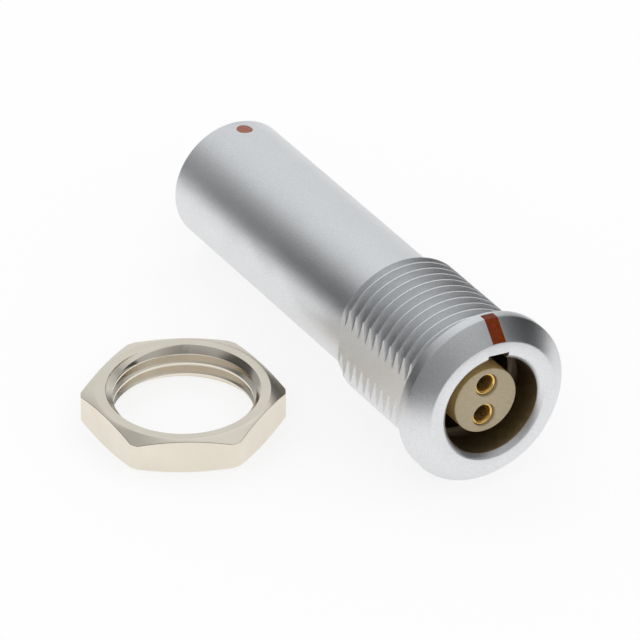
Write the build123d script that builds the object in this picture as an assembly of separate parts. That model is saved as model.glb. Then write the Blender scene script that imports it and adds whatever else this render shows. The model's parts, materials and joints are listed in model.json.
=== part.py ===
from build123d import *
from math import atan2, cos, degrees, radians, sin, tan
import os

# Panel-mount adapter: a circular coupler with a socket at both ends, a flange,
# a threaded stem with two flats, and its hexagon nut lying beside it.
# Millimetres. Each turned piece is drawn on its own axis: the front socket's
# mouth is at station 0, and stations are counted backwards along the axis.
# Around that axis the key points to +Y and the flats face -X and +X.

# Outer body
overall_length = 40.0
flange_diameter = 14.0
flange_thickness = 2.5
rim_width = 1.0
rim_chamfer = 0.1
face_diameter = 11.2
thread_diameter = 12.0
threaded_length = 11.6
thread_end_chamfer = 0.5
flat_width = 10.5
tube_diameter = 10.4
tube_end_chamfer = 0.3

# Sockets, the same at both ends
socket_bore = 8.2
socket_depth = 12.0
mouth_chamfer = 0.35
keyway_width = 1.8
keyway_depth = 0.53
latch_groove_start = 3.2
latch_groove_width = 1.4
latch_groove_depth = 0.35
lip_bore = 7.4
lip_thickness = 1.0

# Joint between the two shells
spigot_diameter = 9.4
spigot_length = 7.0
spigot_end_gap = 0.1
joint_clearance = 0.02

# Insulating inserts
insert_diameter = 5.45
insert_recess = 1.2
insert_chamfer = 0.12
insert_flange_thickness = 2.0
core_clearance = 0.05

# Earthing crowns
crown_base_thickness = 0.4
crown_wall = 0.25
crown_reach = 4.4
crown_flare = 0.28
crown_slots = 8
crown_slot_width = 0.5
crown_lip_clearance = 0.1

# Contacts
contact_spacing = 2.6
contact_diameter = 1.8
contact_recess = 0.25
contact_hole_clearance = 0.05
pin_bore = 1.3
pin_bore_depth = 7.0
pin_bore_chamfer = 0.15
collar_diameter = 2.3
collar_length = 1.5
clip_recess_start = 2.0
clip_length = 2.4
clip_wall = 0.1
clip_slot_width = 0.25
clip_clearance = 0.005

# Red marks
mark_depth = 0.15
key_line_width = 1.15
key_line_back_margin = 0.35
dot_diameter = 1.3
dot_station_from_rear = 1.6

# Nut
nut_across_flats = 14.0
nut_across_corners = 15.8
nut_face_diameter = 13.5
nut_thickness = 3.0
nut_chamfer_angle = 20.0
nut_thread_depth = 0.54
nut_countersink = 0.55

# How far a cutting tool runs past the face that it cuts
tool_overrun = 1.0

# How the two pieces lie
key_roll = 6.0
nut_side_offset = -16.2
nut_back_offset = 19.1
nut_turn = 31.7

# Worked out from the sizes above
flange_radius = flange_diameter / 2
face_radius = face_diameter / 2
thread_radius = thread_diameter / 2
tube_radius = tube_diameter / 2
bore_radius = socket_bore / 2
lip_radius = lip_bore / 2
spigot_radius = spigot_diameter / 2
insert_radius = insert_diameter / 2
cone_length = flange_thickness - rim_width
thread_end = flange_thickness + threaded_length
lip_back = socket_depth + lip_thickness
spigot_end = thread_end + spigot_length
core_radius = bore_radius - core_clearance
insert_flange_front = lip_back + crown_base_thickness
spacer_front = insert_flange_front + insert_flange_thickness
spacer_length = overall_length - 2 * spacer_front


def turned(points):
    """Revolve a closed outline of (radius, station) points about the axis."""
    outline = Polyline([(radius, 0, -station) for radius, station in points], close=True)
    return revolve(make_face(outline), Axis.Z)


def ring(outer, inner, front, back):
    """A plain tube between two stations, or a disc where the inner radius is 0."""
    return turned([(inner, front), (outer, front), (outer, back), (inner, back)])


def mirrored_end(shape):
    """The same piece for the socket at the rear, with its key on the same side."""
    middle = Pos(0, 0, -overall_length)
    return middle * Rot(0, 180, 0) * shape


def socket_outline():
    """Wall of one socket from the lip's back out to the mouth."""
    groove_radius = bore_radius + latch_groove_depth
    groove_end = latch_groove_start + latch_groove_width
    return [
        (bore_radius, lip_back),
        (lip_radius, lip_back),
        (lip_radius, socket_depth),
        (bore_radius, socket_depth),
        (bore_radius, groove_end + latch_groove_depth),
        (groove_radius, groove_end),
        (groove_radius, latch_groove_start),
        (bore_radius, latch_groove_start),
        (bore_radius, mouth_chamfer),
        (bore_radius + mouth_chamfer, 0),
    ]


def keyway():
    """Slot along the socket's wall that takes the plug's key."""
    height = keyway_depth + bore_radius
    slot = Box(keyway_width, height, socket_depth, align=(Align.CENTER, Align.MIN, Align.MAX))
    return slot - ring(lip_radius, 0, -tool_overrun, socket_depth + tool_overrun)


def key_line_strip():
    """Band of paint over the cone and the rim, let into the flange."""
    slope = atan2(flange_radius - face_radius, cone_length)
    sink = mark_depth / cos(slope)
    back = flange_thickness - key_line_back_margin
    band = turned([
        (face_radius, 0),
        (flange_radius, cone_length),
        (flange_radius, back),
        (flange_radius - mark_depth, back),
        (flange_radius - mark_depth, cone_length + mark_depth * (1 / cos(slope) - 1)),
        (face_radius - sink, 0),
    ])
    width_box = Box(key_line_width, flange_radius, flange_thickness,
                    align=(Align.CENTER, Align.MIN, Align.MAX))
    return band & width_box


def rear_dot_inlay():
    """Round spot of paint near the rear end, let into the tube."""
    station = overall_length - dot_station_from_rear
    band = ring(tube_radius, tube_radius - mark_depth, station - dot_diameter, station + dot_diameter)
    spot = Cylinder(dot_diameter / 2, tube_diameter, align=(Align.CENTER, Align.CENTER, Align.MIN))
    return band & (Pos(0, 0, -station) * Rot(-90, 0, 0) * spot)


def front_shell():
    """Flange, threaded stem with two flats, front socket and joint spigot."""
    body = turned([
        (face_radius, 0),
        (flange_radius, cone_length),
        (flange_radius, flange_thickness - rim_chamfer),
        (flange_radius - rim_chamfer, flange_thickness),
        (thread_radius, flange_thickness),
        (thread_radius, thread_end - thread_end_chamfer),
        (thread_radius - thread_end_chamfer, thread_end),
        (spigot_radius, thread_end),
        (spigot_radius, spigot_end),
        (bore_radius, spigot_end),
    ] + socket_outline())
    for side in (-1, 1):
        cutter = Box(thread_diameter, 2 * thread_diameter, threaded_length,
                     align=(Align.MIN, Align.CENTER, Align.MAX))
        turn = 0 if side > 0 else 180
        body -= Rot(0, 0, turn) * Pos(flat_width / 2, 0, -flange_thickness) * cutter
    return body - keyway() - key_line_strip()


def rear_shell():
    """Plain tube screwed onto the spigot, with the rear socket."""
    joint_radius = spigot_radius + joint_clearance
    rear_to_joint = overall_length - spigot_end - spigot_end_gap
    rear_to_front = overall_length - thread_end
    tube = turned([
        (tube_radius - tube_end_chamfer, 0),
        (tube_radius, tube_end_chamfer),
        (tube_radius, rear_to_front),
        (joint_radius, rear_to_front),
        (joint_radius, rear_to_joint),
        (bore_radius, rear_to_joint),
    ] + socket_outline())
    return mirrored_end(tube - keyway()) - rear_dot_inlay()


def contact_places():
    """The two contacts' axes, on the line through the key."""
    return [Pos(0, contact_spacing / 2, 0), Pos(0, -contact_spacing / 2, 0)]


def insulator():
    """Insert with a nose that stands in the socket and a flange behind the lip."""
    body = turned([
        (0, insert_recess),
        (insert_radius - insert_chamfer, insert_recess),
        (insert_radius, insert_recess + insert_chamfer),
        (insert_radius, insert_flange_front),
        (core_radius, insert_flange_front),
        (core_radius, spacer_front),
        (0, spacer_front),
    ])
    hole = ring(contact_diameter / 2 + contact_hole_clearance, 0, 0, spacer_front + tool_overrun)
    for place in contact_places():
        body -= place * hole
    return body


def centre_spacer():
    """Block between the inserts, counterbored in front for the contacts' collars."""
    back = spacer_front + spacer_length
    body = ring(core_radius, 0, spacer_front, back)
    hole = ring(contact_diameter / 2 + contact_hole_clearance, 0, 0, back + tool_overrun)
    seat = ring(collar_diameter / 2 + contact_hole_clearance, 0, 0, spacer_front + collar_length)
    for place in contact_places():
        body -= place * (hole + seat)
    return body


def earthing_crown():
    """Slotted spring ring whose fingers flare towards the socket's wall."""
    outer = lip_radius - crown_lip_clearance
    inner = outer - crown_wall
    tip = lip_back - crown_reach
    flare_start = socket_depth - crown_lip_clearance
    body = turned([
        (inner, insert_flange_front),
        (core_radius, insert_flange_front),
        (core_radius, lip_back),
        (outer, lip_back),
        (outer, flare_start),
        (outer + crown_flare, tip),
        (outer + crown_flare - crown_wall, tip),
        (inner, flare_start),
    ])
    slot = Box(core_radius + tool_overrun, crown_slot_width, crown_reach,
               align=(Align.MIN, Align.CENTER, Align.MIN))
    for index in range(crown_slots):
        turn = (index + 0.5) * 360 / crown_slots
        body -= Rot(0, 0, turn) * Pos(0, 0, -socket_depth) * slot
    return body


def contact():
    """Double-ended socket contact with a collar and a clip recess at each end."""
    radius = contact_diameter / 2
    front = insert_recess + contact_recess
    middle = overall_length / 2
    bore = pin_bore / 2
    recess = bore + clip_wall + clip_clearance
    clip_front = front + clip_recess_start
    clip_back = clip_front + clip_length
    half = [
        (0, front + pin_bore_depth),
        (bore, front + pin_bore_depth),
        (bore, clip_back),
        (recess, clip_back),
        (recess, clip_front),
        (bore, clip_front),
        (bore, front + pin_bore_chamfer),
        (bore + pin_bore_chamfer, front),
        (radius, front),
        (radius, middle),
        (0, middle),
    ]
    front_half = turned(half)
    collar = ring(collar_diameter / 2, 0, spacer_front, spacer_front + collar_length)
    return front_half + mirrored_end(front_half) + collar


def contact_clip():
    """Split spring sleeve in the contact's bore."""
    front = insert_recess + contact_recess + clip_recess_start
    inner = pin_bore / 2 + clip_clearance
    sleeve = ring(inner + clip_wall, inner, front, front + clip_length)
    slit = Box(contact_diameter, clip_slot_width, 2 * overall_length,
               align=(Align.MIN, Align.CENTER, Align.CENTER))
    return sleeve - slit


def hex_nut():
    """Hexagon nut lying flat, chamfered at both faces, with a bore at thread depth."""
    corner = nut_across_corners / 2
    face = nut_face_diameter / 2
    drop = (corner - face) * tan(radians(nut_chamfer_angle))
    bore = thread_radius - nut_thread_depth
    prism = extrude(RegularPolygon(nut_across_flats / 2, 6, major_radius=False), nut_thickness)
    envelope = revolve(make_face(Polyline([
        (bore, 0, nut_countersink),
        (bore + nut_countersink, 0, 0),
        (face, 0, 0),
        (corner, 0, drop),
        (corner, 0, nut_thickness - drop),
        (face, 0, nut_thickness),
        (bore + nut_countersink, 0, nut_thickness),
        (bore, 0, nut_thickness - nut_countersink),
    ], close=True)), Axis.Z)
    return prism & envelope


def lying_pose():
    """The adapter rests on its rim's rear edge and on the tube's rear end."""
    rim_station = flange_thickness - rim_chamfer
    tail_station = overall_length - tube_end_chamfer
    tilt = atan2(flange_radius - tube_radius, tail_station - rim_station)
    height = rim_station * sin(tilt) + flange_radius * cos(tilt)
    return Pos(0, 0, height) * Rot(90 - degrees(tilt), 0, 0) * Rot(0, 0, -key_roll)


def build():
    """All pieces by name, placed as they lie, with the origin below their middle."""
    pieces = {
        "front_shell": front_shell(),
        "rear_shell": rear_shell(),
        "key_line": key_line_strip(),
        "rear_dot": rear_dot_inlay(),
        "front_insulator": insulator(),
        "rear_insulator": mirrored_end(insulator()),
        "centre_spacer": centre_spacer(),
        "front_earthing_crown": earthing_crown(),
        "rear_earthing_crown": mirrored_end(earthing_crown()),
    }
    for name, place in zip(("upper", "lower"), contact_places()):
        pieces[f"{name}_contact"] = place * contact()
        pieces[f"front_{name}_clip"] = place * contact_clip()
        pieces[f"rear_{name}_clip"] = place * mirrored_end(contact_clip())
    pose = lying_pose()
    placed = {name: pose * shape for name, shape in pieces.items()}
    placed["hex_nut"] = Pos(nut_side_offset, nut_back_offset, 0) * Rot(0, 0, nut_turn) * hex_nut()
    boxes = [shape.bounding_box() for shape in placed.values()]
    middle_x = (min(box.min.X for box in boxes) + max(box.max.X for box in boxes)) / 2
    middle_y = (min(box.min.Y for box in boxes) + max(box.max.Y for box in boxes)) / 2
    shift = Pos(-middle_x, -middle_y, -min(box.min.Z for box in boxes))
    return {name: shift * shape for name, shape in placed.items()}


os.makedirs("parts", exist_ok=True)
for name, shape in build().items():
    export_step(shape, f"parts/{name}.step")
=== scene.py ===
"""Looks of a panel-mount adapter: a turned coupler with two sockets, and its nut lying beside it.

Each piece is modelled in millimetres on its own axis, then placed where the frame says.
On the adapter's axis the front socket's mouth is at zero, +Z points out of it and +Y is the key.
Stations are counted backwards from the mouth.
"""
import json
import logging
import math
from collections.abc import Callable
from dataclasses import dataclass, field
from enum import Enum

import bpy
from mathutils import Matrix, Vector


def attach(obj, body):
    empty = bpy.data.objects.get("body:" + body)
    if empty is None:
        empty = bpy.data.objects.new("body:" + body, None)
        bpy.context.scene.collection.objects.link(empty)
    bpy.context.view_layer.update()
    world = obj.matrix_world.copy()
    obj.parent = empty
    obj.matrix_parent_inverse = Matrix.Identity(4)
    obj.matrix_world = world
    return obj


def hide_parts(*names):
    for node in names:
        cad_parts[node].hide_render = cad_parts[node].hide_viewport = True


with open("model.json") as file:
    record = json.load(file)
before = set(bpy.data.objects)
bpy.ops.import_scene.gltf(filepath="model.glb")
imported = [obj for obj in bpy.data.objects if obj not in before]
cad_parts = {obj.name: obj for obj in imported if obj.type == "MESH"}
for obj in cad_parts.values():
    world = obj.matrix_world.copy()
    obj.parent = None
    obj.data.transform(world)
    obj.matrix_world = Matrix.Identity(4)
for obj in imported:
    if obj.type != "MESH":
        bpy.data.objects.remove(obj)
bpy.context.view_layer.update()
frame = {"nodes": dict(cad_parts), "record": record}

log = logging.getLogger("adapter")

# Lengths are in millimetres, but in metres in the frame, the finishes and the studio.
MILLIMETRE = 0.001  # in metres of the frame
SEGMENTS = 168  # sides of a turned piece
THREAD_SEGMENTS = 160  # steps in one turn of a thread
SLEEVE_SEGMENTS = 173  # sides of the thread's span, unlike the others so that no edges coincide
FINE_SEGMENTS = 64  # sides of small round pieces and holes
SEAM = 0.0005  # corners nearer than this are one where a new shape closes
SLIVER = 0.0003  # corners nearer than this are one after the cuts
TOOL_REACH = 1.0  # how far a cutting tool sticks out of what it cuts
ROUND_MIDDLE = 0.3  # how far in the middle corner of a small rounding lies, as a share of its width
SMOOTH_ANGLE = 30.0  # in degrees; sharper edges stay sharp
NOISE_RANGE = (0.3, 0.7)  # nearly all of a noise's values lie in it

Outline = list[tuple[float, float]]
Corner = tuple[float, float, float]
Colour = tuple[float, float, float]


class Cut(Enum):
    """How one solid changes another."""

    AWAY = "DIFFERENCE"
    SHARED = "INTERSECT"


def deselect_all() -> None:
    """Clear the selection, so that an operator acts on the new piece alone."""
    bpy.ops.object.select_all(action="DESELECT")


def activate(piece: bpy.types.Object) -> None:
    """Select one piece and make it active.

    Args:
        piece: The piece that the next operator acts on.
    """
    deselect_all()
    piece.select_set(True)
    bpy.context.view_layer.objects.active = piece


def apply_modifier(piece: bpy.types.Object, kind: str, **settings: object) -> None:
    """Add a modifier to a piece and apply it.

    Args:
        piece: The piece to change.
        kind: Blender's name of the modifier type.
        **settings: Values set on the modifier before it is applied.
    """
    activate(piece)
    modifier = piece.modifiers.new(kind.title(), kind)
    for name, value in settings.items():
        setattr(modifier, name, value)
    bpy.ops.object.modifier_apply(modifier=modifier.name)


def carve(piece: bpy.types.Object, tool: bpy.types.Object, cut: Cut = Cut.AWAY) -> None:
    """Cut a piece with another solid, which is used up.

    Args:
        piece: The piece to change.
        tool: The solid that cuts it.
        cut: What is left of the piece.
    """
    apply_modifier(piece, "BOOLEAN", object=tool, operation=cut.value, solver="EXACT")
    bpy.data.objects.remove(tool)


def soften(piece: bpy.types.Object, width: float, angle: float) -> None:
    """Round the edges sharper than an angle in degrees, as tumbling and plating leave them."""
    apply_modifier(piece, "BEVEL", width=width, segments=2, limit_method="ANGLE",
                   angle_limit=math.radians(angle), harden_normals=False)


def pick(piece: bpy.types.Object, wanted: Callable[[Vector], bool]) -> None:
    """Select the vertices whose place is wanted, and nothing else.

    Args:
        piece: The piece, in object mode.
        wanted: Says of a vertex's place whether it is wanted.
    """
    bpy.context.tool_settings.mesh_select_mode = (True, False, False)
    mesh = piece.data
    for edge in mesh.edges:
        edge.select = False
    for face in mesh.polygons:
        face.select = False
    for vertex in mesh.vertices:
        vertex.select = wanted(vertex.co)


def turned(name: str, outline: Outline, segments: int = SEGMENTS, capped: bool = False) -> bpy.types.Object:
    """Turn an outline on the axis, ring by ring.

    Args:
        name: The piece's name.
        outline: Points of (radius, station), each radius over zero.
        segments: How many sides a ring has.
        capped: True for a solid that closes with a flat disc at both ends of the outline,
            False for a ring-shaped solid whose last point joins its first.

    Returns:
        The new piece.
    """
    deselect_all()
    radius, station = outline[0]
    bpy.ops.mesh.primitive_circle_add(vertices=segments, radius=radius, location=(0, 0, -station))
    piece = bpy.context.active_object
    piece.name = piece.data.name = name
    bpy.ops.object.transform_apply(location=True)
    bpy.ops.object.mode_set(mode="EDIT")
    bpy.ops.mesh.select_all(action="SELECT")
    if capped:
        bpy.ops.mesh.edge_face_add()
    rings = outline[1:] if capped else outline[1:] + outline[:1]
    for next_radius, next_station in rings:
        step = (0, 0, station - next_station)
        bpy.ops.mesh.extrude_region_move(TRANSFORM_OT_translate={"value": step})
        ratio = next_radius / radius
        bpy.ops.transform.resize(value=(ratio, ratio, 1), center_override=(0, 0, -next_station))
        radius, station = next_radius, next_station
    bpy.ops.mesh.select_all(action="SELECT")
    bpy.ops.mesh.remove_doubles(threshold=SEAM)
    bpy.ops.mesh.normals_make_consistent(inside=False)
    bpy.ops.object.mode_set(mode="OBJECT")
    return piece


def block(name: str, low: Corner, high: Corner) -> bpy.types.Object:
    """A cutting block between two corners.

    Args:
        name: The block's name.
        low: Its lowest corner.
        high: Its highest corner.

    Returns:
        The new block.
    """
    deselect_all()
    middle = [(a + b) / 2 for a, b in zip(low, high)]
    size = [b - a for a, b in zip(low, high)]
    bpy.ops.mesh.primitive_cube_add(size=1, location=middle, scale=size)
    tool = bpy.context.active_object
    tool.name = name
    bpy.ops.object.transform_apply(location=True, scale=True)
    return tool


def helical_groove(name: str, open_radius: float, deep_radius: float, open_width: float,
                   deep_width: float, pitch: float, start: float, turns: int) -> bpy.types.Object:
    """A solid in the shape of a thread's groove, wound on the axis.

    Args:
        name: The solid's name.
        open_radius: Radius at which the groove opens, a little past the crests.
        deep_radius: Radius at its bottom.
        open_width: Its width along the axis where it opens.
        deep_width: Its width at the bottom.
        pitch: Distance between two turns.
        start: Station of the first turn.
        turns: How many turns it has.

    Returns:
        The new solid.
    """
    deselect_all()
    middle = (open_radius + deep_radius) / 2
    depth = abs(open_radius - deep_radius)
    bpy.ops.mesh.primitive_plane_add(size=1, location=(middle, 0, -start),
                                     rotation=(math.pi / 2, 0, 0))
    groove = bpy.context.active_object
    groove.name = name
    groove.scale = (depth, open_width, 1)
    bpy.ops.object.transform_apply(location=True, rotation=True, scale=True)
    pick(groove, lambda place: abs(place.x - deep_radius) < depth / 2)
    bpy.ops.object.mode_set(mode="EDIT")
    bpy.ops.transform.resize(value=(1, 1, deep_width / open_width),
                             center_override=(deep_radius, 0, -start))
    bpy.ops.mesh.select_all(action="SELECT")
    bpy.ops.mesh.delete(type="ONLY_FACE")
    bpy.ops.object.mode_set(mode="OBJECT")
    apply_modifier(groove, "SCREW", axis="Z", angle=2 * math.pi, screw_offset=-pitch, iterations=turns,
                   steps=THREAD_SEGMENTS, render_steps=THREAD_SEGMENTS, use_merge_vertices=False)
    bpy.ops.object.mode_set(mode="EDIT")
    bpy.ops.mesh.select_all(action="SELECT")
    bpy.ops.mesh.remove_doubles(threshold=SEAM)
    bpy.ops.mesh.fill_holes(sides=0)
    bpy.ops.mesh.select_all(action="SELECT")
    bpy.ops.mesh.normals_make_consistent(inside=False)
    bpy.ops.object.mode_set(mode="OBJECT")
    return groove


def copied(piece: bpy.types.Object, name: str) -> bpy.types.Object:
    """Copy a piece, with a mesh of its own.

    Args:
        piece: The piece, not yet dressed or placed.
        name: The copy's name.

    Returns:
        The copy.
    """
    activate(piece)
    bpy.ops.object.duplicate()
    copy = bpy.context.active_object
    copy.name = copy.data.name = name
    return copy


def raise_to(piece: bpy.types.Object, rise: float) -> None:
    """Move a piece from the adapter's axis to an axis above or below it.

    Args:
        piece: The piece on the adapter's axis.
        rise: How far towards the key it goes, less than zero for away from it.
    """
    activate(piece)
    piece.location = (0, rise, 0)
    bpy.ops.object.transform_apply(location=True)


def turn_round(piece: bpy.types.Object, length: float) -> None:
    """Turn a piece end for end about the middle of the adapter, its key staying on top.

    Args:
        piece: A piece modelled for the front socket.
        length: The adapter's whole length.
    """
    activate(piece)
    bpy.ops.object.mode_set(mode="EDIT")
    bpy.ops.mesh.select_all(action="SELECT")
    middle = (0, 0, -length / 2)
    bpy.ops.transform.resize(value=(-1, 1, -1), center_override=middle)
    bpy.ops.object.mode_set(mode="OBJECT")


def settle(piece: bpy.types.Object, pose: Matrix, angle: float) -> None:
    """Clear up what the cuts left, smooth a piece and put it where it lies, its place in its mesh.

    Args:
        piece: The finished shape, in millimetres on its own axis.
        pose: Where its axis lies in the frame, in metres.
        angle: Edges sharper than this many degrees stay sharp.
    """
    activate(piece)
    bpy.ops.object.mode_set(mode="EDIT")
    bpy.ops.mesh.select_all(action="SELECT")
    bpy.ops.mesh.remove_doubles(threshold=SLIVER)
    bpy.ops.mesh.dissolve_degenerate(threshold=SLIVER)
    bpy.ops.object.mode_set(mode="OBJECT")
    piece.matrix_world = pose @ Matrix.Scale(MILLIMETRE, 4)
    bpy.ops.object.transform_apply(location=True, rotation=True, scale=True)
    bpy.ops.object.shade_smooth_by_angle(angle=math.radians(angle))
    apply_modifier(piece, "WEIGHTED_NORMAL", keep_sharp=True)


def stand_for(piece: bpy.types.Object, node: str) -> None:
    """Let a finished piece stand for its CAD node, which is hidden.

    Args:
        piece: The piece where it lies.
        node: The CAD node's name.
    """
    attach(piece, "root")
    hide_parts(node)
    log.info("%s: %d faces, stands for %s", piece.name, len(piece.data.polygons), node)


@dataclass(frozen=True)
class Noise:
    """An irregular pattern: the rough size of its grains in metres, and how they break up."""

    size: float
    detail: float = 2.0
    roughness: float = 0.5


class Sheet:
    """A material's nodes, added and linked by short calls."""

    def __init__(self, name: str) -> None:
        """Start a material.

        Args:
            name: The material's name.
        """
        self.material = bpy.data.materials.new(name)
        self.material.use_nodes = True
        self.nodes = self.material.node_tree.nodes
        self.links = self.material.node_tree.links

    def node(self, kind: str, **settings: str) -> bpy.types.Node:
        """Add a node.

        Args:
            kind: Blender's name of its type.
            **settings: Values set on the node.

        Returns:
            The new node.
        """
        node = self.nodes.new(kind)
        for name, value in settings.items():
            setattr(node, name, value)
        return node


class FinishSheet(Sheet):
    """The nodes of a finish, round one principled shader."""

    def __init__(self, name: str) -> None:
        """Start a material whose shader is still plain.

        Args:
            name: The material's name.
        """
        super().__init__(name)
        self.shader = self.nodes["Principled BSDF"]
        self.place = self.node("ShaderNodeTexCoord").outputs["Object"]

    def set(self, **values: float) -> None:
        """Set the shader's own sockets; an underscore stands for a space."""
        for name, value in values.items():
            self.shader.inputs[name.replace("_", " ")].default_value = value

    def noise(self, pattern: Noise) -> bpy.types.NodeSocket:
        """Add a noise that stays on the piece.

        Args:
            pattern: How large and how broken up it is.

        Returns:
            Its value, nearly always within NOISE_RANGE.
        """
        node = self.node("ShaderNodeTexNoise")
        node.inputs["Scale"].default_value = 1 / pattern.size
        node.inputs["Detail"].default_value = pattern.detail
        node.inputs["Roughness"].default_value = pattern.roughness
        self.links.new(self.place, node.inputs["Vector"])
        return node.outputs["Fac"]

    def ramp(self, source: bpy.types.NodeSocket, low: Colour, high: Colour) -> bpy.types.NodeSocket:
        """Let a colour follow a noise.

        Args:
            source: The noise's value.
            low: The colour where it is low.
            high: The colour where it is high.

        Returns:
            The colour.
        """
        node = self.node("ShaderNodeValToRGB")
        for stop, place, colour in zip(node.color_ramp.elements, NOISE_RANGE, (low, high)):
            stop.position = place
            stop.color = (*colour, 1)
        self.links.new(source, node.inputs["Fac"])
        return node.outputs["Color"]

    def spread(self, source: bpy.types.NodeSocket, low: float, high: float) -> bpy.types.NodeSocket:
        """Let a number follow a noise.

        Args:
            source: The noise's value.
            low: The number where it is low.
            high: The number where it is high.

        Returns:
            The number.
        """
        node = self.node("ShaderNodeMapRange")
        for name, value in zip(("From Min", "From Max", "To Min", "To Max"), (*NOISE_RANGE, low, high)):
            node.inputs[name].default_value = value
        self.links.new(source, node.inputs["Value"])
        return node.outputs["Result"]

    def bump(self, source: bpy.types.NodeSocket, height: float) -> None:
        """Raise the surface by a noise.

        Args:
            source: The noise's value.
            height: How high, in metres.
        """
        node = self.node("ShaderNodeBump")
        node.inputs["Distance"].default_value = height
        self.links.new(source, node.inputs["Height"])
        self.feed("Normal", node.outputs["Normal"])

    def feed(self, socket: str, source: bpy.types.NodeSocket) -> None:
        """Let a value or colour drive one of the shader's sockets."""
        self.links.new(source, self.shader.inputs[socket])


@dataclass(frozen=True)
class Finish:
    """What a surface looks like: a colour, a roughness and a relief that each follow a noise.

    The relief's height is in metres. Noises that are alike become one.
    """

    name: str
    light: Colour
    dull: Colour
    rough: tuple[float, float]
    height: float
    tone: Noise
    gloss: Noise
    relief: Noise
    metallic: float = 0.0
    ior: float = 1.5
    specular: float = 0.5

    def material(self) -> bpy.types.Material:
        """Build the finish.

        Returns:
            The new material.
        """
        sheet = FinishSheet(self.name)
        sheet.set(Metallic=self.metallic, IOR=self.ior, Specular_IOR_Level=self.specular)
        patterns = dict.fromkeys((self.tone, self.gloss, self.relief))
        value = {pattern: sheet.noise(pattern) for pattern in patterns}
        sheet.feed("Base Color", sheet.ramp(value[self.tone], self.dull, self.light))
        sheet.feed("Roughness", sheet.spread(value[self.gloss], *self.rough))
        sheet.bump(value[self.relief], self.height)
        return sheet.material


@dataclass(frozen=True)
class SatinChrome(Finish):
    """Chrome over a bead-blasted surface: a fine even grain that blurs what it reflects."""

    name: str = "satin_chrome"
    light: Colour = (0.875, 0.88, 0.89)
    dull: Colour = (0.755, 0.76, 0.77)
    rough: tuple[float, float] = (0.35, 0.41)
    height: float = 0.00002
    tone: Noise = Noise(0.00012, detail=3, roughness=0.6)
    gloss: Noise = Noise(0.0025, detail=3)
    relief: Noise = Noise(0.00012, detail=3, roughness=0.6)
    metallic: float = 1.0


@dataclass(frozen=True)
class PaintedShadeBore(Finish):
    """Painted shade in the depth of the sockets: the plating coloured a dull dark brown there, where shade
    falls.
    """

    name: str = "painted_shade_bore"
    light: Colour = (0.46, 0.405, 0.33)
    dull: Colour = (0.38, 0.335, 0.27)
    rough: tuple[float, float] = (0.34, 0.44)
    height: float = 0.000004
    tone: Noise = Noise(0.0005, detail=3)
    gloss: Noise = Noise(0.0005, detail=3)
    relief: Noise = Noise(0.0001)
    metallic: float = 1.0


@dataclass(frozen=True)
class BrightNickel(Finish):
    """Nickel plate on a turned and milled nut: bright and warm, with faint tool marks."""

    name: str = "bright_nickel"
    light: Colour = (0.84, 0.78, 0.67)
    dull: Colour = (0.79, 0.73, 0.62)
    rough: tuple[float, float] = (0.12, 0.20)
    height: float = 0.000002
    tone: Noise = Noise(0.003)
    gloss: Noise = Noise(0.0004, detail=4, roughness=0.6)
    relief: Noise = Noise(0.0004, detail=4, roughness=0.6)
    metallic: float = 1.0


@dataclass(frozen=True)
class PaintedShadeNickel(BrightNickel):
    """Painted shade in the nut's thread: the nickel coloured darker between the flanks, where shade falls.
    """

    name: str = "painted_shade_nickel"
    light: Colour = (0.71, 0.66, 0.575)
    dull: Colour = (0.66, 0.61, 0.525)


@dataclass(frozen=True)
class BrightGold(Finish):
    """Gold plate on the turned contacts."""

    name: str = "bright_gold"
    light: Colour = (0.95, 0.68, 0.24)
    dull: Colour = (0.82, 0.52, 0.14)
    rough: tuple[float, float] = (0.10, 0.16)
    height: float = 0.000001
    tone: Noise = Noise(0.0004, detail=3)
    gloss: Noise = Noise(0.0004, detail=3)
    relief: Noise = Noise(0.00012)
    metallic: float = 0.86


@dataclass(frozen=True)
class TanPlastic(Finish):
    """The inserts' machined engineering plastic, finely speckled."""

    name: str = "tan_plastic"
    light: Colour = (0.43, 0.355, 0.23)
    dull: Colour = (0.37, 0.30, 0.19)
    rough: tuple[float, float] = (0.38, 0.52)
    height: float = 0.000004
    tone: Noise = Noise(0.00025, detail=4, roughness=0.6)
    gloss: Noise = Noise(0.00025, detail=4, roughness=0.6)
    relief: Noise = Noise(0.00025, detail=4, roughness=0.6)
    ior: float = 1.55


@dataclass(frozen=True)
class PaintedLightPlastic(TanPlastic):
    """The same plastic on the round side of the inserts, with painted warm light that makes it look more
    yellow.
    """

    name: str = "painted_light_plastic"
    light: Colour = (0.66, 0.475, 0.19)
    dull: Colour = (0.58, 0.41, 0.155)


@dataclass(frozen=True)
class RedEnamel(Finish):
    """Brown-red enamel filled into the key line."""

    name: str = "red_enamel"
    light: Colour = (0.175, 0.026, 0.001)
    dull: Colour = (0.12, 0.016, 0.001)
    rough: tuple[float, float] = (0.20, 0.28)
    height: float = 0.000008
    tone: Noise = Noise(0.0003, detail=3)
    gloss: Noise = Noise(0.0003, detail=3)
    relief: Noise = Noise(0.0003, detail=3)
    specular: float = 0.15


@dataclass(frozen=True)
class RedEnamelAndPaintedSheen(RedEnamel):
    """The same enamel in the rear dot, made paler by a painted reflection so that it looks salmon."""

    name: str = "red_enamel_and_painted_sheen"
    light: Colour = (0.36, 0.14, 0.095)
    dull: Colour = (0.28, 0.10, 0.065)


@dataclass(frozen=True)
class SpringBronze(Finish):
    """Plated spring bronze of the crowns and clips."""

    name: str = "spring_bronze"
    light: Colour = (0.70, 0.58, 0.36)
    dull: Colour = (0.58, 0.46, 0.27)
    rough: tuple[float, float] = (0.25, 0.36)
    height: float = 0.000002
    tone: Noise = Noise(0.0006, detail=3)
    gloss: Noise = Noise(0.0006, detail=3)
    relief: Noise = Noise(0.00015)
    metallic: float = 1.0


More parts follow.
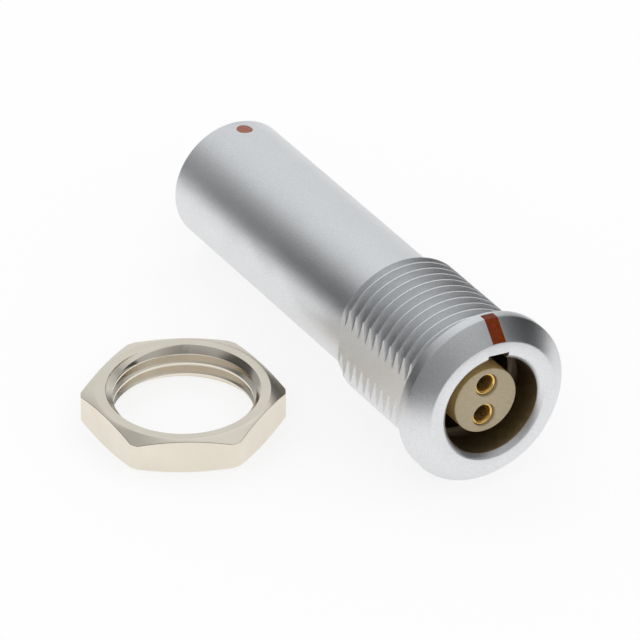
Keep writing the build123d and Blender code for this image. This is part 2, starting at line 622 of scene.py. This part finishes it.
@dataclass
class AdapterAxis:
    """Where the adapter's axis lies, read from the frame's mounts."""

    insert_mount: float = 2.32  # station of the front insert's mount

    def pose(self) -> Matrix:
        """The adapter's own axes in the frame: Z out of the front socket, Y towards the key.

        Returns:
            A matrix from the adapter's axes, in metres, to the frame.
        """
        mounts = {mount["name"]: mount for mount in frame["record"]["mounts"]}
        forward = Vector(mounts["front_insert"]["axis"]).normalized()
        upper = Vector(mounts["front_upper_contact"]["pos_m"])
        lower = Vector(mounts["front_lower_contact"]["pos_m"])
        key = (upper - lower).normalized()
        side = key.cross(forward).normalized()
        key = forward.cross(side)
        mouth = Vector(mounts["front_insert"]["pos_m"]) + forward * self.insert_mount * MILLIMETRE
        pose = Matrix((side, key, forward)).transposed().to_4x4()
        pose.translation = mouth
        return pose


@dataclass
class Socket:
    """Sizes of one socket, the same at both ends."""

    bore: float = 8.2
    depth: float = 12.0
    mouth_chamfer: float = 0.35
    edge_round: float = 0.08
    keyway_width: float = 1.8
    keyway_depth: float = 0.53
    keyway_end_gap: float = 0.02  # the keyway stops this far before the lip
    groove_start: float = 3.2
    groove_width: float = 1.4
    groove_depth: float = 0.35
    groove_lean: float = 0.035  # how far the groove's rear flank leans back
    lip_bore: float = 7.4
    lip_thickness: float = 1.0

    @property
    def bore_radius(self) -> float:
        """Radius of the socket's wall."""
        return self.bore / 2

    @property
    def lip_back(self) -> float:
        """Station behind the lip that holds the crown and the insert."""
        return self.depth + self.lip_thickness

    def wall(self) -> Outline:
        """The socket's wall with its latch groove.

        Returns:
            Points from behind the lip out to the mouth.
        """
        radius = self.bore_radius
        groove_end = self.groove_start + self.groove_width
        middle = self.edge_round * ROUND_MIDDLE
        return [
            (radius, self.lip_back),
            (self.lip_bore / 2, self.lip_back),
            (self.lip_bore / 2, self.depth),
            (radius, self.depth),
            (radius, groove_end + self.groove_lean),
            (radius + self.groove_depth, groove_end),
            (radius + self.groove_depth, self.groove_start),
            (radius, self.groove_start),
            (radius, self.mouth_chamfer + self.edge_round),
            (radius + middle, self.mouth_chamfer),
            (radius + self.mouth_chamfer, middle),
            (radius + self.mouth_chamfer + self.edge_round, 0),
        ]

    def keyway(self) -> bpy.types.Object:
        """The slot that takes the plug's key.

        Returns:
            A block that cuts it.
        """
        half = self.keyway_width / 2
        top = self.bore_radius + self.keyway_depth
        end = self.keyway_end_gap - self.depth
        return block("keyway_cut", (-half, self.lip_bore / 2, end), (half, top, TOOL_REACH))


@dataclass
class FrontShell:
    """Flange, threaded stem with two flats, and the front socket."""

    socket: Socket
    flange_radius: float = 7.0
    flange_thickness: float = 2.5
    rim_width: float = 1.0
    rim_chamfer: float = 0.1
    edge_round: float = 0.04
    face_radius: float = 5.6
    thread_radius: float = 6.0
    thread_depth: float = 0.6134
    pitch: float = 1.0
    crest_width: float = 0.125
    root_width: float = 0.25
    groove_over: float = 0.1  # how far the groove's tool reaches past the crests
    groove_shift: float = 0.013  # keeps the groove's faces off those of the flange
    flange_gap: float = 0.02  # the groove stops this far from the flange
    threaded_length: float = 11.6
    end_chamfer: float = 0.5
    flat_width: float = 10.5
    flat_over: float = 0.01  # how far the flats' tools reach past the thread's end
    spigot_radius: float = 4.7
    spigot_length: float = 7.0

    @property
    def cone_length(self) -> float:
        """How far back the flange's cone reaches."""
        return self.flange_thickness - self.rim_width

    @property
    def thread_end(self) -> float:
        """Station where the thread ends and the rear shell begins."""
        return self.flange_thickness + self.threaded_length

    @property
    def spigot_end(self) -> float:
        """Station where the spigot inside the rear shell ends."""
        return self.thread_end + self.spigot_length

    def outline(self) -> Outline:
        """The shell's outline.

        Returns:
            Points from the face over the flange and the stem, and back through the bore.
        """
        soft = self.edge_round
        return [
            (self.face_radius - soft * 2, 0),
            (self.face_radius - soft, soft * ROUND_MIDDLE),
            (self.face_radius + soft, soft * (2 - ROUND_MIDDLE)),
            (self.flange_radius - soft, self.cone_length - soft),
            (self.flange_radius, self.cone_length + soft),
            (self.flange_radius, self.flange_thickness - self.rim_chamfer),
            (self.flange_radius - self.rim_chamfer, self.flange_thickness),
            (self.thread_radius, self.flange_thickness),
            (self.thread_radius, self.thread_end - self.end_chamfer),
            (self.thread_radius - self.end_chamfer, self.thread_end),
            (self.spigot_radius, self.thread_end),
            (self.spigot_radius, self.spigot_end),
            (self.socket.bore_radius, self.spigot_end),
        ] + self.socket.wall()

    def thread_groove(self) -> bpy.types.Object:
        """The thread's groove, from beside the flange to past the stem's end.

        Returns:
            A solid that cuts it.
        """
        start = self.flange_thickness - self.pitch / 2 + self.groove_shift
        turns = math.ceil(self.threaded_length / self.pitch) + 1
        mouth = self.pitch - self.crest_width
        widening = (mouth - self.root_width) / self.thread_depth
        groove = helical_groove(
            "thread_groove", self.thread_radius + self.groove_over, self.thread_radius - self.thread_depth,
            mouth + self.groove_over * widening, self.root_width, self.pitch, start, turns)
        span = turned("thread_span", [
            (self.spigot_radius, self.flange_thickness + self.flange_gap),
            (self.flange_radius + TOOL_REACH, self.flange_thickness + self.flange_gap),
            (self.flange_radius + TOOL_REACH, self.thread_end + TOOL_REACH),
            (self.spigot_radius, self.thread_end + TOOL_REACH),
        ], segments=SLEEVE_SEGMENTS)
        carve(groove, span, Cut.SHARED)
        return groove

    def build(self, line_seat: bpy.types.Object) -> bpy.types.Object:
        """Model the shell.

        Args:
            line_seat: The tool that cuts the enamel line's seat.

        Returns:
            The finished shell on its own axis.
        """
        shell = turned("chromed_front_shell", self.outline())
        carve(shell, self.thread_groove())
        flat = self.flat_width / 2
        reach = 2 * self.flange_radius
        for near, far in ((-reach, -flat), (flat, reach)):
            carve(shell, block("flat_cut", (near, -reach, -self.thread_end - self.flat_over),
                               (far, reach, -self.flange_thickness)))
        carve(shell, self.socket.keyway())
        carve(shell, line_seat)
        return shell


@dataclass
class RearShell:
    """The plain tube behind the thread, with the rear socket."""

    front: FrontShell
    length: float
    tube_radius: float = 5.2
    joint_radius: float = 4.72
    joint_room: float = 0.1  # left free behind the front shell's spigot
    end_chamfer: float = 0.3
    round_in: float = 0.1  # where the rounding of the tube's end has its middle corner
    round_back: float = 0.12

    def build(self, dot_seat: bpy.types.Object) -> bpy.types.Object:
        """Model the tube.

        Args:
            dot_seat: The tool that cuts the enamel dot's seat.

        Returns:
            The finished tube on its own axis.
        """
        socket = self.front.socket
        shoulder = self.length - self.front.thread_end
        joint_end = self.length - self.front.spigot_end - self.joint_room
        outline = [
            (self.tube_radius - self.end_chamfer, 0),
            (self.tube_radius - self.round_in, self.round_back),
            (self.tube_radius, self.end_chamfer),
            (self.tube_radius, shoulder),
            (self.joint_radius, shoulder),
            (self.joint_radius, joint_end),
            (socket.bore_radius, joint_end),
        ] + socket.wall()
        shell = turned("chromed_rear_shell", outline)
        carve(shell, socket.keyway())
        turn_round(shell, self.length)
        carve(shell, dot_seat)
        return shell


@dataclass
class RedMarks:
    """Enamel key marks: a line over the flange and a dot at the rear."""

    shell: FrontShell
    tube: RearShell
    depth: float = 0.15
    seat_stand: float = 0.3  # how far the seats' tools stand out
    sunk: float = 0.02  # how far the enamel lies below the metal
    line_width: float = 1.15
    line_start: float = 0.03  # station where the line begins
    back_margin: float = 0.35
    dot_radius: float = 0.65
    dot_from_rear: float = 1.6

    def line(self, stand: float) -> bpy.types.Object:
        """Model the line over the cone and the rim.

        Args:
            stand: How far its surface stands over the flange's, less than zero for sunk.

        Returns:
            The line's solid, or a tool for its seat where it stands out.
        """
        face, rim = self.shell.face_radius, self.shell.flange_radius
        cone, start = self.shell.cone_length, self.line_start
        back = self.shell.flange_thickness - self.back_margin
        lean = (rim - face) / cone
        slant = math.cos(math.atan2(rim - face, cone))
        sink, rise = self.depth / slant, stand / slant
        band = turned("red_key_line", [
            (face + start * lean + rise, start),
            (rim + stand, cone + (stand - rise) / lean),
            (rim + stand, back),
            (rim - self.depth, back),
            (rim - self.depth, cone + (sink - self.depth) / lean),
            (face + start * lean - sink, start),
        ])
        half = self.line_width / 2
        span = block("line_span", (-half, 0, -back - TOOL_REACH), (half, rim + TOOL_REACH, TOOL_REACH))
        carve(band, span, Cut.SHARED)
        return band

    def dot(self, stand: float) -> bpy.types.Object:
        """Model the dot let into the tube.

        Args:
            stand: How far its surface stands over the tube's, less than zero for sunk.

        Returns:
            The dot's solid, or a tool for its seat where it stands out.
        """
        station = self.tube.length - self.dot_from_rear
        outer, inner = self.tube.tube_radius + stand, self.tube.tube_radius - self.depth
        span = self.dot_radius * 2
        band = turned("red_rear_dot", [
            (outer, station - span),
            (outer, station + span),
            (inner, station + span),
            (inner, station - span),
        ])
        deselect_all()
        bpy.ops.mesh.primitive_cylinder_add(
            vertices=FINE_SEGMENTS, radius=self.dot_radius, depth=outer * 2,
            location=(0, outer, -station), rotation=(math.pi / 2, 0, 0))
        spot = bpy.context.active_object
        bpy.ops.object.transform_apply(location=True, rotation=True)
        carve(band, spot, Cut.SHARED)
        return band


@dataclass
class Insert:
    """Insulating insert of one socket, with its earthing crown."""

    socket: Socket
    nose_radius: float = 2.725
    side_margin: float = 0.04  # a face's middle may lie this far off the round side
    recess: float = 1.2
    nose_chamfer: float = 0.12
    flange_thickness: float = 2.0
    core_clearance: float = 0.05
    contact_spacing: float = 2.6
    contact_hole_radius: float = 0.95
    hole_chamfer: float = 0.06
    crown_base: float = 0.4
    crown_wall: float = 0.25
    crown_reach: float = 4.4
    crown_flare: float = 0.28
    crown_slots: int = 8
    slot_width: float = 0.5
    lip_clearance: float = 0.1

    @property
    def flange_front(self) -> float:
        """Station of the insert's flange."""
        return self.socket.lip_back + self.crown_base

    @property
    def core(self) -> float:
        """Radius of what lies in the bore behind the lip."""
        return self.socket.bore_radius - self.core_clearance

    def on_nose(self, place: Vector) -> bool:
        """Whether a place is on the round side of the insert's nose, which gets the painted warm light."""
        return abs(place.xy.length - self.nose_radius) < self.side_margin

    def insulator(self, name: str) -> bpy.types.Object:
        """Model the insert with its two contact holes.

        Args:
            name: The piece's name.

        Returns:
            The finished insert for the front socket.
        """
        back = self.flange_front + self.flange_thickness
        middle = self.nose_chamfer * ROUND_MIDDLE
        body = turned(name, [
            (self.nose_radius - self.nose_chamfer, self.recess),
            (self.nose_radius - middle, self.recess + middle),
            (self.nose_radius, self.recess + self.nose_chamfer),
            (self.nose_radius, self.flange_front),
            (self.core, self.flange_front),
            (self.core, back),
        ], capped=True)
        radius = self.contact_hole_radius
        for side in (-1, 1):
            hole = turned("contact_hole", [
                (radius + self.hole_chamfer, self.recess - TOOL_REACH),
                (radius + self.hole_chamfer, self.recess),
                (radius, self.recess + self.hole_chamfer),
                (radius, back + TOOL_REACH),
            ], segments=FINE_SEGMENTS, capped=True)
            raise_to(hole, side * self.contact_spacing / 2)
            carve(body, hole)
        return body

    def crown(self, name: str) -> bpy.types.Object:
        """Model the slotted spring ring.

        Args:
            name: The piece's name.

        Returns:
            The finished crown for the front socket.
        """
        outer = self.socket.lip_bore / 2 - self.lip_clearance
        inner = outer - self.crown_wall
        tip = self.socket.lip_back - self.crown_reach
        flare = self.socket.depth - self.lip_clearance
        body = turned(name, [
            (inner, self.flange_front),
            (self.core, self.flange_front),
            (self.core, self.socket.lip_back),
            (outer, self.socket.lip_back),
            (outer, flare),
            (outer + self.crown_flare, tip),
            (outer + self.crown_flare - self.crown_wall, tip),
            (inner, flare),
        ])
        for index in range(self.crown_slots):
            slot = block("crown_slot", (0, -self.slot_width / 2, -self.socket.depth),
                         (self.core + TOOL_REACH, self.slot_width / 2, -tip + TOOL_REACH))
            slot.rotation_euler = (0, 0, (index + 1 / 2) * 2 * math.pi / self.crown_slots)
            activate(slot)
            bpy.ops.object.transform_apply(rotation=True)
            carve(body, slot)
        return body


@dataclass
class Contact:
    """Double-ended socket contact with a bore and a clip seat at each end."""

    insert: Insert
    length: float
    radius: float = 0.9
    recess: float = 0.25
    bore_radius: float = 0.65
    bore_depth: float = 7.0
    drill_point: float = 0.3  # depth of the cone at the bore's bottom
    drill_tip: float = 0.05  # radius at which that cone ends
    lip_crest: float = 0.19  # how far out from the bore the lip is highest
    funnel_depth: float = 0.32
    lip_round: float = 0.06
    lip_steps: int = 14
    collar_radius: float = 1.15
    collar_length: float = 1.5
    clip_start: float = 2.0
    clip_length: float = 2.4
    clip_room: float = 0.105

    def half(self) -> Outline:
        """The front end's outline, its lip a funnel inside and a small rounding outside.

        Returns:
            Points from the bottom of the bore out of the mouth to the outside.
        """
        front = self.insert.recess + self.recess
        clip_front = front + self.clip_start
        clip_back = clip_front + self.clip_length
        seat = self.bore_radius + self.clip_room
        crest = self.bore_radius + self.lip_crest
        turns = [math.pi / 2 * step / self.lip_steps for step in range(self.lip_steps + 1)]
        return [
            (self.drill_tip, front + self.bore_depth + self.drill_point),
            (self.bore_radius, front + self.bore_depth),
            (self.bore_radius, clip_back),
            (seat, clip_back),
            (seat, clip_front),
            (self.bore_radius, clip_front),
        ] + [
            (crest - self.lip_crest * math.cos(turn), front + self.funnel_depth * (1 - math.sin(turn)))
            for turn in turns
        ] + [
            (crest + (self.radius - crest) * math.sin(turn), front + self.lip_round * (1 - math.cos(turn)))
            for turn in turns[1:]
        ]

    def build(self, name: str) -> bpy.types.Object:
        """Model one contact.

        Args:
            name: The piece's name.

        Returns:
            The finished contact on the adapter's axis.
        """
        half = self.half()
        collar_front = self.insert.flange_front + self.insert.flange_thickness
        collar_back = collar_front + self.collar_length
        collar = [
            (self.radius, collar_front),
            (self.collar_radius, collar_front),
            (self.collar_radius, collar_back),
            (self.radius, collar_back),
        ]
        mirrored = [(radius, self.length - station) for radius, station in reversed(half)]
        return turned(name, half + collar + mirrored, segments=FINE_SEGMENTS, capped=True)


@dataclass
class FixingNut:
    """Hexagon nut that lies flat beside the adapter."""

    across_flats: float = 14.0
    across_corners: float = 15.8
    face_diameter: float = 13.5
    thickness: float = 3.0
    chamfer_angle: float = 20.0
    edge_round: float = 0.05
    edge_angle: float = 12.0  # only edges sharper than this are rounded
    smooth_angle: float = 14.0
    bore_radius: float = 5.46
    thread_radius: float = 6.02
    countersink: float = 0.55
    pitch: float = 1.0
    groove_mouth: float = 0.82
    groove_floor: float = 0.15
    groove_lead: float = 1.15  # how far over the nut the groove begins
    groove_turns: int = 5
    groove_over: float = 0.15  # how far the groove's tool reaches past the crests
    flank_margin: float = 0.05
    turn: float = 31.7

    def pose(self) -> Matrix:
        """Where the nut lies, turned as it is on the table.

        Returns:
            A matrix from the nut's axes, in metres, to the frame, its origin under the thread's mount.
        """
        mounts = {mount["name"]: mount for mount in frame["record"]["mounts"]}
        place = Vector(mounts["nut_thread"]["pos_m"])
        place.z = 0
        return Matrix.Translation(place) @ Matrix.Rotation(math.radians(self.turn), 4, "Z")

    def in_thread(self, place: Vector) -> bool:
        """Whether a place is on the flanks of the nut's thread, which get the painted shade.

        Args:
            place: A place on the nut's own axes.

        Returns:
            True for the flanks between the two countersinks.
        """
        level = self.countersink < place.z < self.thickness - self.countersink
        reach = place.xy.length - self.flank_margin
        return level and self.bore_radius < reach < self.thread_radius

    def build(self) -> bpy.types.Object:
        """Model the nut.

        Returns:
            The finished nut, standing on its own axis.
        """
        deselect_all()
        corner = self.across_flats / math.sqrt(3)
        bpy.ops.mesh.primitive_cylinder_add(
            vertices=6, radius=corner, depth=self.thickness,
            location=(0, 0, self.thickness / 2), rotation=(0, 0, math.pi / 2))
        nut = bpy.context.active_object
        nut.name = nut.data.name = "nickel_hex_nut"
        bpy.ops.object.transform_apply(location=True, rotation=True)
        face, outer = self.face_diameter / 2, self.across_corners / 2
        drop = (outer - face) * math.tan(math.radians(self.chamfer_angle))
        top, sink = self.thickness, self.countersink
        envelope = turned("nut_envelope", [
            (self.bore_radius, -sink),
            (self.bore_radius + sink, 0),
            (face, 0),
            (outer, -drop),
            (outer, drop - top),
            (face, -top),
            (self.bore_radius + sink, -top),
            (self.bore_radius, sink - top),
        ])
        carve(nut, envelope, Cut.SHARED)
        soften(nut, self.edge_round, self.edge_angle)
        widening = (self.groove_mouth - self.groove_floor) / (self.thread_radius - self.bore_radius)
        groove = helical_groove(
            "nut_groove", self.bore_radius - self.groove_over, self.thread_radius,
            self.groove_mouth + self.groove_over * widening, self.groove_floor, self.pitch,
            -self.thickness - self.groove_lead, self.groove_turns)
        carve(nut, groove)
        return nut


@dataclass(frozen=True)
class Glow:
    """A soft bright or dark place on the tent.

    Azimuth is counted from +Y towards +X. All angles are in degrees. It is full within the inner
    angle from its middle and gone at the outer one, and a level below zero makes the place dark.
    """

    azimuth: float
    elevation: float
    inner: float
    outer: float
    level: float

    @property
    def towards(self) -> Vector:
        """Direction of its middle.

        Returns:
            A vector of length one.
        """
        azimuth, elevation = math.radians(self.azimuth), math.radians(self.elevation)
        flat = math.cos(elevation)
        return Vector((math.sin(azimuth) * flat, math.cos(azimuth) * flat, math.sin(elevation)))


class StageSheet(Sheet):
    """The nodes of a surface that isn't part of the object."""

    def __init__(self, name: str) -> None:
        """Start an empty material.

        Args:
            name: The material's name.
        """
        super().__init__(name)
        self.nodes.clear()

    def combine(self, operation: str, first: bpy.types.NodeSocket,
                second: bpy.types.NodeSocket | float) -> bpy.types.NodeSocket:
        """Work out a value from two others.

        Args:
            operation: Blender's name of what is done with them.
            first: The first value.
            second: The second value, or a plain number.

        Returns:
            The result.
        """
        node = self.node("ShaderNodeMath", operation=operation)
        self.links.new(first, node.inputs[0])
        if isinstance(second, float):
            node.inputs[1].default_value = second
        else:
            self.links.new(second, node.inputs[1])
        return node.outputs[0]

    def fade(self, glow: Glow, direction: bpy.types.NodeSocket) -> bpy.types.NodeSocket:
        """Let a glow fade out round its middle.

        Args:
            glow: The bright or dark place.
            direction: The direction looked at, of length one.

        Returns:
            Its light in that direction.
        """
        dot = self.node("ShaderNodeVectorMath", operation="DOT_PRODUCT")
        dot.inputs[1].default_value = glow.towards
        self.links.new(direction, dot.inputs[0])
        soft = self.node("ShaderNodeMapRange", interpolation_type="SMOOTHSTEP")
        soft.inputs["From Min"].default_value = math.cos(math.radians(glow.outer))
        soft.inputs["From Max"].default_value = math.cos(math.radians(glow.inner))
        soft.inputs["To Max"].default_value = glow.level
        self.links.new(dot.outputs["Value"], soft.inputs["Value"])
        return soft.outputs["Result"]

    def cover(self, surface: bpy.types.Object, shader: bpy.types.NodeSocket) -> None:
        """Args:
            surface: The surface.
            shader: What the material shows.
        """
        self.links.new(shader, self.node("ShaderNodeOutputMaterial").inputs["Surface"])
        surface.data.materials.append(self.material)


@dataclass
class Studio:
    """Pale table, soft light and the camera, with lengths in metres and angles in degrees."""

    camera_azimuth: float = -30.72
    camera_elevation: float = 34.38
    camera_roll: float = 0.36
    camera_distance: float = 0.5822
    target: Corner = (0.00804, 0.00569, 0.0)
    focal_pixels: float = 7400.0
    image_pixels: float = 640.0
    sensor_width: float = 36.0
    nearest: float = 0.01
    farthest: float = 20.0
    floor_size: float = 6.0
    floor_white: float = 0.96
    floor_own_light: float = 0.80  # share of plain white in the table, where it is looked at
    tent_radius: float = 0.075
    tent_level: float = 0.48
    tent_tint: Colour = (0.965, 0.985, 1.0)
    darkest: float = 0.03
    glows: tuple[Glow, ...] = (
        Glow(azimuth=22, elevation=15, inner=55, outer=62, level=0.30),
        Glow(azimuth=-57, elevation=10, inner=32, outer=48, level=-0.39),
        Glow(azimuth=108, elevation=18, inner=24, outer=42, level=-1.10),
        Glow(azimuth=-130, elevation=18, inner=18, outer=50, level=-0.21),
        Glow(azimuth=-86, elevation=-26, inner=20, outer=64, level=-1.50),
        Glow(azimuth=60, elevation=82, inner=8, outer=30, level=0.35),
    )

    def camera(self) -> None:
        """Place the camera at the photograph's angle, with a long lens."""
        azimuth, elevation = math.radians(self.camera_azimuth), math.radians(self.camera_elevation)
        flat = math.cos(elevation)
        back = Vector((math.sin(azimuth) * flat, -math.cos(azimuth) * flat, math.sin(elevation)))
        deselect_all()
        bpy.ops.object.camera_add(location=Vector(self.target) + back * self.camera_distance)
        camera = bpy.context.active_object
        camera.rotation_euler = ((-back).to_track_quat("-Z", "Y").to_matrix()
                                 @ Matrix.Rotation(math.radians(self.camera_roll), 3, "Z")).to_euler()
        camera.data.sensor_width = self.sensor_width
        camera.data.lens = self.focal_pixels * self.sensor_width / self.image_pixels
        camera.data.clip_start, camera.data.clip_end = self.nearest, self.farthest
        bpy.context.scene.camera = camera

    def floor(self) -> None:
        """A plain white table that keeps the pieces' shadow."""
        deselect_all()
        bpy.ops.mesh.primitive_plane_add(size=self.floor_size, location=(0, 0, 0))
        floor = bpy.context.active_object
        floor.name = "floor"
        sheet = StageSheet("white_table")
        matt = sheet.node("ShaderNodeBsdfDiffuse")
        matt.inputs["Color"].default_value = (*(self.floor_white,) * 3, 1)
        white = sheet.node("ShaderNodeEmission")
        mix = sheet.node("ShaderNodeMixShader")
        paths = sheet.node("ShaderNodeLightPath").outputs
        seen = sheet.combine("MAXIMUM", paths["Is Camera Ray"], paths["Is Glossy Ray"])
        seen = sheet.combine("MAXIMUM", seen, paths["Is Transmission Ray"])
        share = sheet.combine("MULTIPLY", seen, self.floor_own_light)
        for socket, source in zip(mix.inputs, (share, matt.outputs[0], white.outputs[0])):
            sheet.links.new(source, socket)
        sheet.cover(floor, mix.outputs[0])

    def tent(self) -> None:
        """A round tent that only mirrors see: a grey dome with soft bright and dark places."""
        deselect_all()
        bpy.ops.mesh.primitive_uv_sphere_add(
            segments=FINE_SEGMENTS, ring_count=FINE_SEGMENTS // 2, radius=self.tent_radius,
            location=(self.target[0], self.target[1], 0))
        tent = bpy.context.active_object
        tent.name = "light_tent"
        tent.visible_camera = tent.visible_diffuse = tent.visible_shadow = False
        sheet = StageSheet("tent_cloth")
        direction = sheet.node("ShaderNodeVectorMath", operation="NORMALIZE")
        sheet.links.new(sheet.node("ShaderNodeTexCoord").outputs["Object"], direction.inputs[0])
        level = sheet.node("ShaderNodeValue").outputs[0]
        level.default_value = self.tent_level
        for glow in self.glows:
            level = sheet.combine("ADD", level, sheet.fade(glow, direction.outputs["Vector"]))
        shine = sheet.node("ShaderNodeEmission")
        shine.inputs["Color"].default_value = (*self.tent_tint, 1)
        sheet.links.new(sheet.combine("MAXIMUM", level, self.darkest), shine.inputs["Strength"])
        sheet.cover(tent, shine.outputs[0])

    def light(self) -> None:
        """A plain white room that lights everything evenly."""
        world = bpy.data.worlds.new("white_room")
        bpy.context.scene.world = world
        world.use_nodes = True
        room = world.node_tree.nodes["Background"]
        room.inputs["Color"].default_value = (1, 1, 1, 1)
        room.inputs["Strength"].default_value = 1.0


@dataclass(frozen=True)
class Lining:
    """A second finish, of painted light or shade, on the faces of a piece whose middle it covers."""

    material: bpy.types.Material
    covers: Callable[[Vector], bool]


@dataclass
class Adapter:
    """The whole adapter with its nut."""

    length: float = 40.0
    shade_start: float = 0.2  # the painted shade in the bore starts this far behind the mouth's chamfer
    shade_margin: float = 0.05  # how far a face's middle may lie outside the latch groove
    axis: AdapterAxis = field(default_factory=AdapterAxis)
    socket: Socket = field(default_factory=Socket)

    def build(self) -> None:
        """Model, place and dress every piece."""
        pose = self.axis.pose()
        plastic, bronze = TanPlastic().material(), SpringBronze().material()
        self.build_shells(pose)
        insert = Insert(self.socket)
        self.build_inserts(insert, pose, plastic, bronze)
        self.build_contacts(insert, pose)
        self.build_nut()
        self.dress_hidden(plastic, bronze)

    def build_shells(self, pose: Matrix) -> None:
        """Both shells and the enamel marks let into them.

        Args:
            pose: Where the adapter's axis lies.
        """
        chrome = SatinChrome().material()
        # the bore's faces get a painted shade, a darker brown in the depth of both sockets
        bore = Lining(PaintedShadeBore().material(), self.in_bore)
        front = FrontShell(self.socket)
        rear = RearShell(front, self.length)
        marks = RedMarks(front, rear)
        self.finish(front.build(marks.line(marks.seat_stand)), pose, chrome, "front_shell", bore)
        self.finish(rear.build(marks.dot(marks.seat_stand)), pose, chrome, "rear_shell", bore)
        self.finish(marks.line(-marks.sunk), pose, RedEnamel().material(), "key_line")
        # the rear dot's enamel is paled by a painted reflection
        self.finish(marks.dot(-marks.sunk), pose, RedEnamelAndPaintedSheen().material(), "rear_dot")

    def build_inserts(self, insert: Insert, pose: Matrix, plastic: bpy.types.Material,
                      bronze: bpy.types.Material) -> None:
        """The front insert and crown, and copies of them for the rear socket.

        Args:
            insert: Their sizes.
            pose: Where the adapter's axis lies.
            plastic: The inserts' finish.
            bronze: The crowns' finish.
        """
        # the inserts' round sides get painted warm light, a more yellow plastic
        side = Lining(PaintedLightPlastic().material(), insert.on_nose)
        insulator = insert.insulator("tan_front_insert")
        crown = insert.crown("bronze_front_crown")
        rear_insulator = copied(insulator, "tan_rear_insert")
        rear_crown = copied(crown, "bronze_rear_crown")
        for piece in (rear_insulator, rear_crown):
            turn_round(piece, self.length)
        self.finish(insulator, pose, plastic, "front_insulator", side)
        self.finish(crown, pose, bronze, "front_earthing_crown")
        self.finish(rear_insulator, pose, plastic, "rear_insulator", side)
        self.finish(rear_crown, pose, bronze, "rear_earthing_crown")

    def build_contacts(self, insert: Insert, pose: Matrix) -> None:
        """The upper contact and its copy below it.

        Args:
            insert: The insert that they lie in.
            pose: Where the adapter's axis lies.
        """
        gold = BrightGold().material()
        upper = Contact(insert, self.length).build("gold_upper_contact")
        lower = copied(upper, "gold_lower_contact")
        rise = insert.contact_spacing / 2
        for piece, node, height in ((upper, "upper_contact", rise), (lower, "lower_contact", -rise)):
            raise_to(piece, height)
            self.finish(piece, pose, gold, node)

    def build_nut(self) -> None:
        """The nut, which lies apart from the adapter."""
        nut = FixingNut()
        # the thread's flanks get a painted shade, a darker nickel where shade falls
        nickel, thread = BrightNickel().material(), Lining(PaintedShadeNickel().material(), nut.in_thread)
        self.finish(nut.build(), nut.pose(), nickel, "hex_nut", thread, nut.smooth_angle)

    def dress_hidden(self, plastic: bpy.types.Material, bronze: bpy.types.Material) -> None:
        """Dress the CAD nodes that stay: the spacer and the clips.

        Args:
            plastic: The spacer's finish.
            bronze: The clips' finish.
        """
        for name, cad in frame["nodes"].items():
            if name.endswith("_clip"):
                self.dress(cad, bronze)
            elif name == "centre_spacer":
                self.dress(cad, plastic)
            else:
                continue
            log.info("%s: kept from the CAD model", name)

    def finish(self, piece: bpy.types.Object, pose: Matrix, material: bpy.types.Material, node: str,
               lining: Lining | None = None, angle: float = SMOOTH_ANGLE) -> None:
        """Dress a piece, place it and let it stand for its node.

        Args:
            piece: The finished shape, in millimetres on its own axis.
            pose: Where its axis lies in the frame.
            material: Its finish.
            node: The CAD node that it stands for.
            lining: Another finish for a part of it, of painted light or shade.
            angle: Edges sharper than this many degrees stay sharp.
        """
        self.dress(piece, material)
        if lining:
            piece.data.materials.append(lining.material)
            for face in piece.data.polygons:
                face.material_index = int(lining.covers(face.center))
        settle(piece, pose, angle)
        stand_for(piece, node)

    def in_bore(self, place: Vector) -> bool:
        """Whether a place is in the depth of a socket, where the bore gets its painted shade.

        Args:
            place: A place on the adapter's own axes.

        Returns:
            True behind the chamfer of either mouth, as far out as the latch groove.
        """
        depth = min(-place.z, self.length + place.z)
        reach = self.socket.bore_radius + self.socket.groove_depth + self.shade_margin
        return place.xy.length < reach and depth > self.socket.mouth_chamfer + self.shade_start

    @staticmethod
    def dress(piece: bpy.types.Object, material: bpy.types.Material) -> None:
        """Give a new piece or a CAD node one finish all over."""
        piece.data.materials.clear()
        piece.data.materials.append(material)


def main() -> None:
    """Build the scene."""
    logging.basicConfig(level=logging.INFO, format="%(name)s: %(message)s")
    bpy.context.scene.view_settings.view_transform = "Standard"
    studio = Studio()
    studio.camera()
    studio.floor()
    studio.tent()
    studio.light()
    Adapter().build()


if __name__ == "__main__":
    main()
